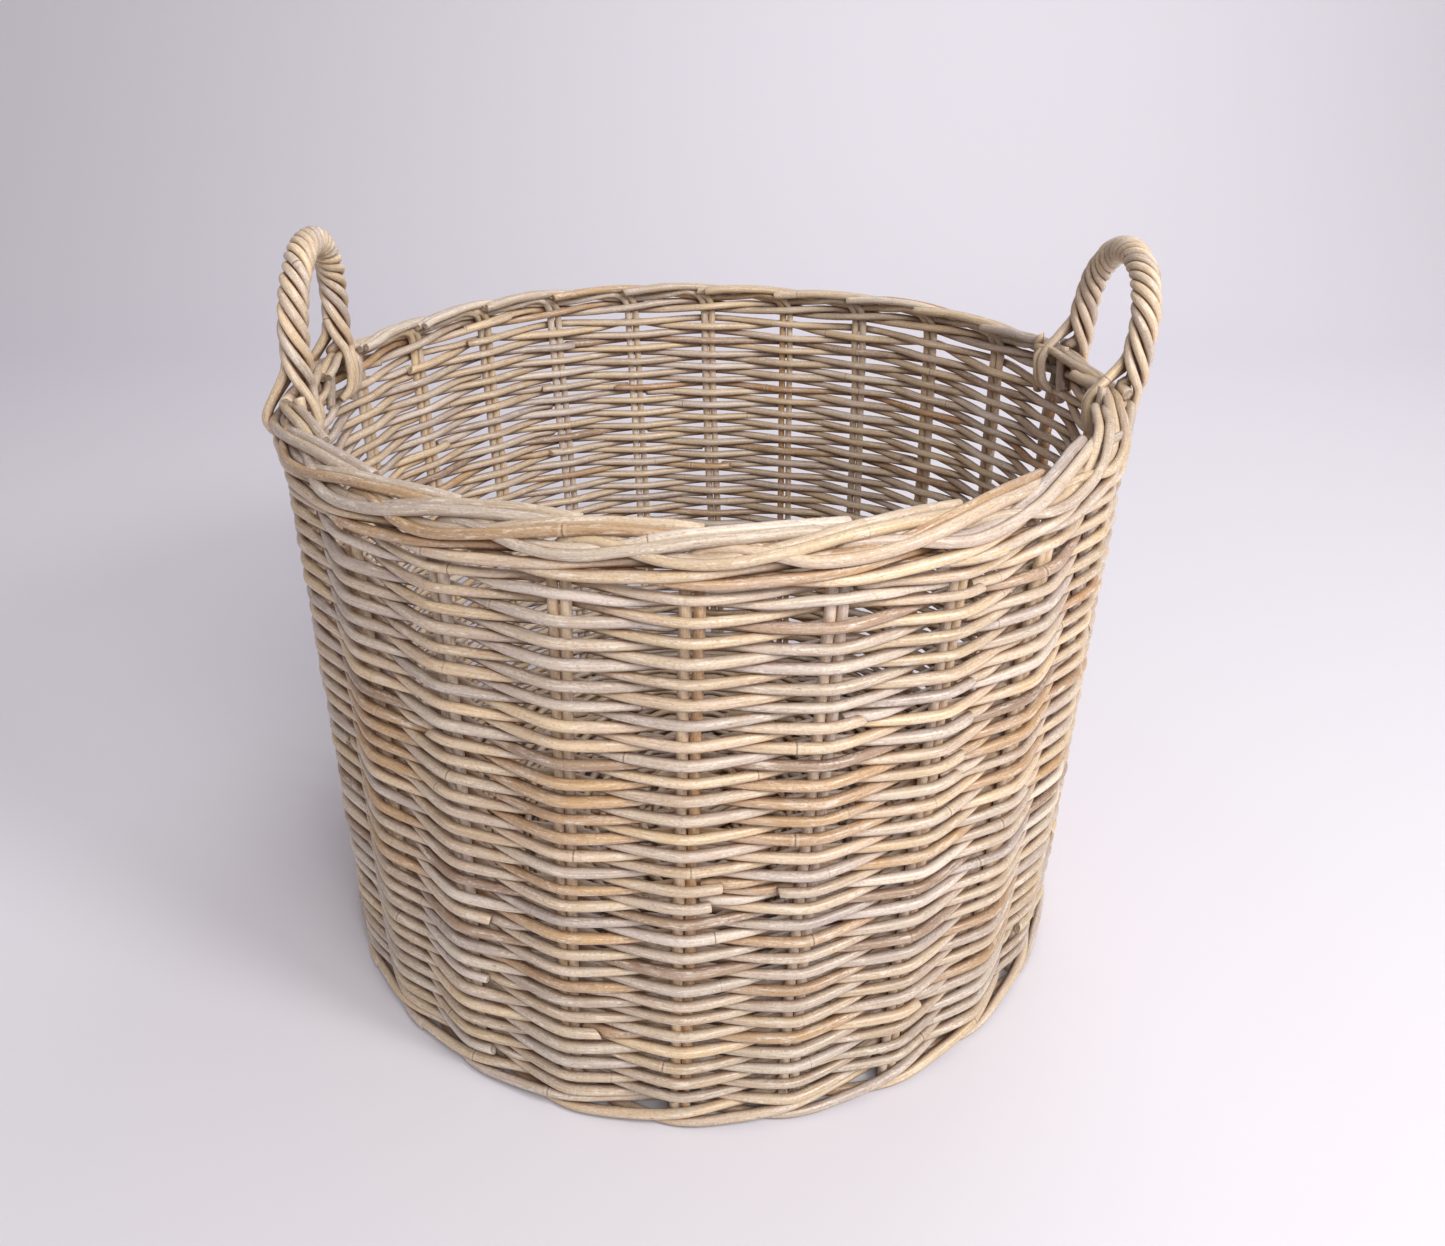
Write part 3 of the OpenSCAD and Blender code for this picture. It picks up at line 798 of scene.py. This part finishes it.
def build_base_weave():
    """The rounds of the base, from the middle outward."""
    # binding rounds, over one set of sticks and under the other
    for ring, r in enumerate((36.0, 42.0, 48.0, 54.0)):
        rng = rng_for(7, ring)
        a = np.linspace(0.0, 2 * np.pi * 1.02, int(2 * np.pi * r / 3.2))
        over = np.cos(2 * (a - math.radians(FAN_TURN))) * (1 if ring % 2 else -1)
        square = 1.0 + 0.07 * np.cos(4 * (a - math.radians(FAN_TURN)))
        path = circle(r * square, a, LEG_Z + 7.4 * np.clip(over * 1.8, -1, 1) * 0.95)
        add_base_ring("base_binding_%d" % (ring + 1), path, rng, ring)

    # plain weave over and under the spokes
    radii = np.arange(62.0, 237.0, BASE_PITCH)
    for count, r in enumerate(radii):
        rng = rng_for(8, count)
        start = rng.uniform(0, 2 * np.pi)
        a = np.linspace(start, start + 2 * np.pi + 6.0 / r, int(2 * np.pi * r / 5.0) + 8)
        u = (np.degrees(a) - FIRST_PAIR) * PAIRS / 360.0
        side = 1 if count % 2 else -1
        # further out, the legs of the stakes make each crossing wider
        level = np.clip(1.0 + (r - 190.0) / 90.0, 1.0, 1.5)
        z = LEG_Z + 5.6 * side * np.clip(zigzag(u) * level, -1, 1) + np.linspace(-0.8, 0.8, len(a))
        path = circle(r + 0.5 * np.sin(3 * a + count), a, z)
        add_base_ring("base_weave_%02d" % (count + 1), path, rng, count)

    # one closing round under the sticks and one over them
    for count, lift in enumerate((-CLOSING_LIFT, CLOSING_LIFT), len(radii)):
        rng = rng_for(8, count)
        a = np.linspace(0.0, 2 * np.pi * 1.01, 310) + rng.uniform(0, 2 * np.pi)
        path = circle(CLOSING_R, a, LEG_Z + lift + np.linspace(-0.4, 0.4, 310))
        add_base_ring("base_weave_%02d" % (count + 1), path, rng, count)


def build_hoop():
    rng = rng_for(9)
    path = circle(HOOP_R, np.linspace(0, 2 * np.pi * 1.012, 260), np.full(260, HOOP_Z))
    piece = Piece("foot_hoop")
    piece.add(path, HOOP_CANE_R, (0, 0, 1), rng, pick_tint(rng, 0.6, 0.1), sides=14, cut=(0.8, 0.8))
    piece.build("base_cane", ["foot_hoop"], BASE)


def add_base_ring(name, path, rng, index):
    """One round of the base. Even ones replace the lower layer of the CAD, odd ones the upper."""
    piece = Piece(name)
    r = BASE_R * (1 + rng.normal(0, 0.04))
    piece.add(path, r, (0, 0, 1), rng, pick_tint(rng, 0.6, 0.1), sides=8, cut=(0.4, 0.4))
    piece.build("base_cane", ["base_weave_" + ("upper" if index % 2 else "lower")], BASE)


# ---- handles ----

STRANDS = 5
TWIST = -4.4            # turns of the strands over the arch
ROPE_R = 6.5            # from the middle of the rope to the middle of a strand
STRAND_R = 3.05
ROPE_FOOT = 391.0       # height at which the rope starts


class Handle:
    """One roped handle in its own axes: x outward, y round the rim, z up."""

    def __init__(self, index, word, turn, arch_at, arch_z, lean, inside_r, outside_r, _):
        self.index, self.word, self.turn = index, word, turn
        self.arch_at, self.arch_z = arch_at, arch_z
        self.inside_r, self.outside_r = inside_r, outside_r
        self.lean = math.radians(lean)

    def leaning(self, points):
        """Points of an upright handle, leant outward about the rope's foot."""
        x, y, h = np.asarray(points).T
        h = h - ROPE_FOOT
        c, s = math.cos(self.lean), math.sin(self.lean)
        return np.stack([x * c + h * s, y, ROPE_FOOT + h * c - x * s], -1)

    def arch(self, t):
        """The arch's middle line and its heading, t from 0 at one foot to 1 at the other."""
        leg, curve = self.arch_z - ROPE_FOOT, math.pi * HANDLE_HALF
        s = np.asarray(t) * (2 * leg + curve)
        a = np.clip((s - leg) / curve, 0, 1) * math.pi
        y = -HANDLE_HALF * np.cos(a)
        z = (self.arch_z + HANDLE_HALF * np.sin(a)
             - np.maximum(leg - s, 0) - np.maximum(s - leg - curve, 0))
        none = np.zeros_like(y)
        return np.stack([none, y, z], -1), np.stack([none, np.sin(a), np.cos(a)], -1)

    def strand(self, j, start, end):
        """Strand j over the arch, from `start` of the arch's length to `end` before its far foot."""
        t = np.linspace(start, 1 - end, 90)
        point, along = self.arch(t)
        a = 2 * np.pi * (j / STRANDS + TWIST * (t - 0.38 / (2 * np.pi) * np.sin(2 * np.pi * t)))
        across = np.cross(along, [1.0, 0, 0])
        flare = 1.3 * (1 - smooth(t / 0.14)) + 1.3 * (1 - smooth((1 - t) / 0.14))
        r = ROPE_R + 0.2 * np.sin(6 * np.pi * t + j) + flare
        outward = (r * np.cos(a))[:, None] * [1.0, 0, 0]
        return self.leaning(point + outward + (r * np.sin(a))[:, None] * across)

    def leave(self, goes_out):
        """How far before the foot a strand leaves the rope: further if it has more way to go."""
        foot_r = math.hypot(self.arch_at, HANDLE_HALF)
        gap = self.outside_r - foot_r - ROPE_R if goes_out else foot_r - ROPE_R - self.inside_r
        return 0.0036 * gap

    def tail(self, foot, goes_out, spot):
        """Points down one side of the rim, then tucked into the weave below it."""
        y = foot * (HANDLE_HALF - spot * 6.0)
        if goes_out:
            r = self.outside_r + 2.0 * (1 - abs(spot))
            drop = ((r - 0.5, 1.0, 377.0), (r - 0.5, 2.0, 371.0), (r - 4.0, 3.5, 365.0),
                    (r - 11.0, 5.0, 360.5))
        else:
            r = self.inside_r
            drop = ((r + 0.3, 0.0, 381.0), (r, 0.6, 372.0), (r + 2.0, 2.0, 362.5),
                    (r + 7.5, 3.5, 356.5))
        return [(math.sqrt(r * r - y * y) - self.arch_at, y - foot * back, z)
                for r, back, z in drop]

    def spots(self, foot):
        """For each strand at a foot: does it go outside the rim, and which place it takes there."""
        angles = [2 * np.pi * (j / STRANDS + (TWIST if foot > 0 else 0.0)) for j in range(STRANDS)]
        order = sorted(range(STRANDS), key=lambda j: -math.cos(angles[j]))
        places = {3: (-1, 0, 1), 2: (-0.5, 0.5)}
        outside = 3 if self.outside_r - self.arch_at < 15.0 else 2
        found = {}
        for group, goes_out in ((order[:outside], True), (order[outside:], False)):
            group = sorted(group, key=lambda j: math.sin(angles[j]))
            for spot, j in zip(places[len(group)], group):
                found[j] = (goes_out, spot)
        return found

    def put(self, points, step):
        """A smooth path through points in the handle's axes, moved to its place on the rim."""
        return turned(spline(points, step) + [self.arch_at, 0, 0], self.turn)

    def build(self):
        feet = {foot: self.spots(foot) for foot in (-1, 1)}
        for j in range(STRANDS):
            rng = rng_for(10, self.index, j)
            leave = [self.leave(feet[foot][j][0]) for foot in (-1, 1)]
            rope = self.strand(j, *leave)
            points = self.tail(-1, *feet[-1][j])[::-1] + list(rope[::2]) + self.tail(1, *feet[1][j])
            path = self.put(points, 2.4)
            piece = Piece("handle_%s_strand_%d" % (self.word, j + 1))
            r = STRAND_R * (1 + rng.normal(0, 0.03))
            piece.add(path, r, steady_up(path), rng, pick_tint(rng, 0.35, 0.0) * 1.04,
                      sides=14, cut=(0.5, 0.5), joints=(240, 420))
            piece.build("handle_cane", ["handle_rope_" + self.word], ROPE)
        self.build_core()

    def build_core(self):
        """The cane inside the rope; it comes out under the strands and stops on top of the rim."""
        rng = rng_for(11, self.index)
        middle = self.leaning(self.arch(np.linspace(0, 1, 60))[0])[1:-1]
        x = 0.55 * (self.arch_at - RIM_R)
        ends = [[(-x - 1.0, foot * HANDLE_HALF, RIM_Z + 3.5),
                 (-x, foot * (HANDLE_HALF + 10.0), RIM_Z + 1.0)] for foot in (-1, 1)]
        path = self.put([*ends[0][::-1], *middle, *ends[1]], 3.0)
        piece = Piece("handle_%s_core" % self.word)
        s = lengths(path)
        r = 3.4 + 1.1 * (1 - smooth(s / 25)) + 1.1 * (1 - smooth((s[-1] - s) / 25))
        piece.add(path, r, steady_up(path), rng, pick_tint(rng, 0.6, 0.0), sides=16, cut=(0.2, 0.2))
        # two pegs at each foot, wedged into the rim
        for foot in (-1, 1):
            for along, r, top in ((14.0, 259.5, 393.0), (-13.0, 262.5, 389.0)):
                y = foot * (HANDLE_HALF + along)
                x = math.sqrt(r * r - y * y) - self.arch_at
                top += rng.uniform(-2.5, 2.5)
                path = self.put([(x + 3.0, y + foot, 350.0), (x + 0.5, y, 370.0), (x, y, 380.0),
                                 (x + rng.uniform(-1, 1.5), y - foot, top)], 4.0)
                piece.add(path, rng.uniform(3.0, 3.5), steady_up(path), rng, pick_tint(rng),
                          sides=14, cut=(0.2, rng.uniform(0.1, 0.8)))
        piece.build("handle_cane", ["handle_core_" + self.word], ROPE)


build_rows()
build_wale("top", top_wale)
build_wale("foot", foot_wale)
build_stakes()
build_sticks()
build_base_weave()
build_hoop()
for index, numbers in enumerate(HANDLES):
    Handle(index, *numbers).build()


# ---- stage, light and camera ----

def build_backdrop(front, wall_y, bend_r, top, half_w):
    """A sheet that lies on the floor and curves up behind the basket."""
    profile = [(-front, 0.0), (wall_y - bend_r, 0.0)]
    for a in np.radians(np.arange(5, 91, 5)):
        profile.append((wall_y - bend_r + bend_r * math.sin(a), bend_r * (1 - math.cos(a))))
    profile.append((wall_y, top))
    verts = [(x, y, z) for y, z in profile for x in (-half_w, half_w)]
    faces = [(2 * i, 2 * i + 1, 2 * i + 3, 2 * i + 2) for i in range(len(profile) - 1)]
    mesh = bpy.data.meshes.new("backdrop")
    mesh.from_pydata(verts, [], faces)
    mesh.shade_smooth()
    m = bpy.data.materials.new("backdrop_paper")
    m.use_nodes = True
    bsdf = m.node_tree.nodes["Principled BSDF"]
    bsdf.inputs["Base Color"].default_value = (*srgb(226, 223, 229), 1.0)
    bsdf.inputs["Roughness"].default_value = 0.9
    bsdf.inputs["Specular IOR Level"].default_value = 0.2
    mesh.materials.append(m)
    obj = bpy.data.objects.new("backdrop", mesh)
    bpy.context.scene.collection.objects.link(obj)


build_backdrop(front=4.0, wall_y=2.3, bend_r=0.9, top=3.0, half_w=5.0)


def area_light(name, location, target, size, power, colour):
    """A round lamp at `location` that shines at `target`."""
    light = bpy.data.lights.new(name, "AREA")
    light.shape = "DISK"
    light.size = size
    light.energy = power
    light.color = colour
    obj = bpy.data.objects.new(name, light)
    bpy.context.scene.collection.objects.link(obj)
    obj.location = location
    obj.rotation_euler = (Vector(target) - Vector(location)).to_track_quat("-Z", "Y").to_euler()


area_light("key", (1.6, -1.2, 1.7), (0, 0, 0.3), 0.6, 27, (1.0, 0.985, 0.97))
area_light("soft_key", (0.5, -1.55, 1.6), (0, 0, 0.35), 1.4, 27, (1.0, 0.985, 0.97))
area_light("background", (0.8, 1.2, 2.4), (0.7, 2.3, 0.3), 1.2, 19, (1.0, 0.99, 1.0))

world = bpy.data.worlds.new("studio")
world.use_nodes = True
world.node_tree.nodes["Background"].inputs["Color"].default_value = (*srgb(236, 233, 239), 1.0)
world.node_tree.nodes["Background"].inputs["Strength"].default_value = 0.42
bpy.context.scene.world = world
bpy.context.scene.view_settings.view_transform = "Standard"

# The camera, as fitted to the rim, the foot and the stake pairs in the photo: metres and radians.
CAMERA_AT = (-0.01055, -0.75679, 0.61831)
PITCH, YAW, ROLL = 0.376665, 0.030271, 0.009175
camera = bpy.data.cameras.new("camera")
camera.lens = 28.96
camera.sensor_width = 36.0
camera.shift_y = -0.1096
camera_object = bpy.data.objects.new("camera", camera)
bpy.context.scene.collection.objects.link(camera_object)
forward = Vector((math.sin(YAW) * math.cos(PITCH),
                  math.cos(YAW) * math.cos(PITCH), -math.sin(PITCH)))
right = Vector((math.cos(YAW), -math.sin(YAW), 0.0))
up = right.cross(forward)
right, up = (math.cos(ROLL) * right + math.sin(ROLL) * up,
             -math.sin(ROLL) * right + math.cos(ROLL) * up)
matrix = Matrix((right, up, -forward)).transposed().to_4x4()
matrix.translation = CAMERA_AT
camera_object.matrix_world = matrix
bpy.context.scene.camera = camera_object
